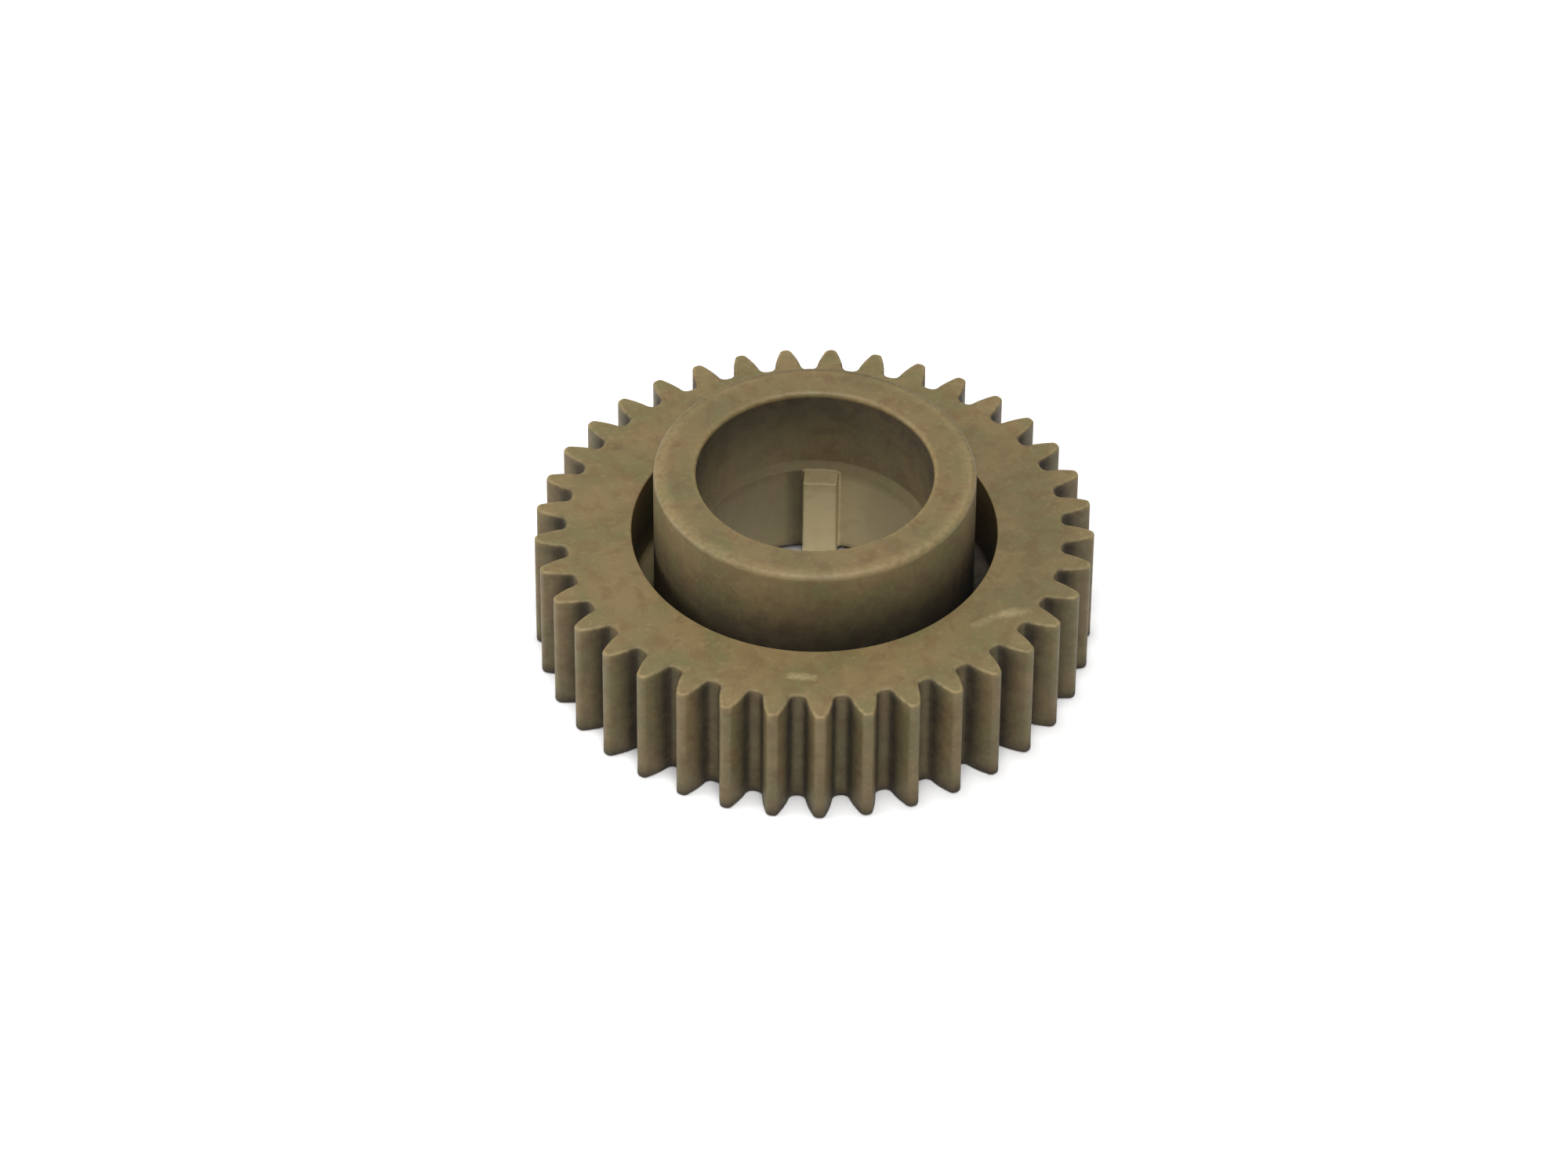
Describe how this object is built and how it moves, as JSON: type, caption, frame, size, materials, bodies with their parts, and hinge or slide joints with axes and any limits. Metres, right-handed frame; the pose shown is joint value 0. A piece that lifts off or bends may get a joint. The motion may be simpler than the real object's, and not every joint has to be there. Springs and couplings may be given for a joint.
{
  "type": "keyed printer drive gear",
  "caption": "Tan moulded plastic spur gear with a raised hub, a ring groove around it and a keyed through bore.",
  "frame": {"origin": "on the gear's axis, at the underside of the toothed rim", "axes": "+Z along the axis towards the raised hub, +Y through the key in the bore"},
  "size_m": [0.039, 0.0389, 0.0147],
  "materials": {
    "gear_plastic": "satin, slightly worn"
  },
  "bodies": {
    "root": {"drive_gear": "gear_plastic"}
  },
  "joints": []
}
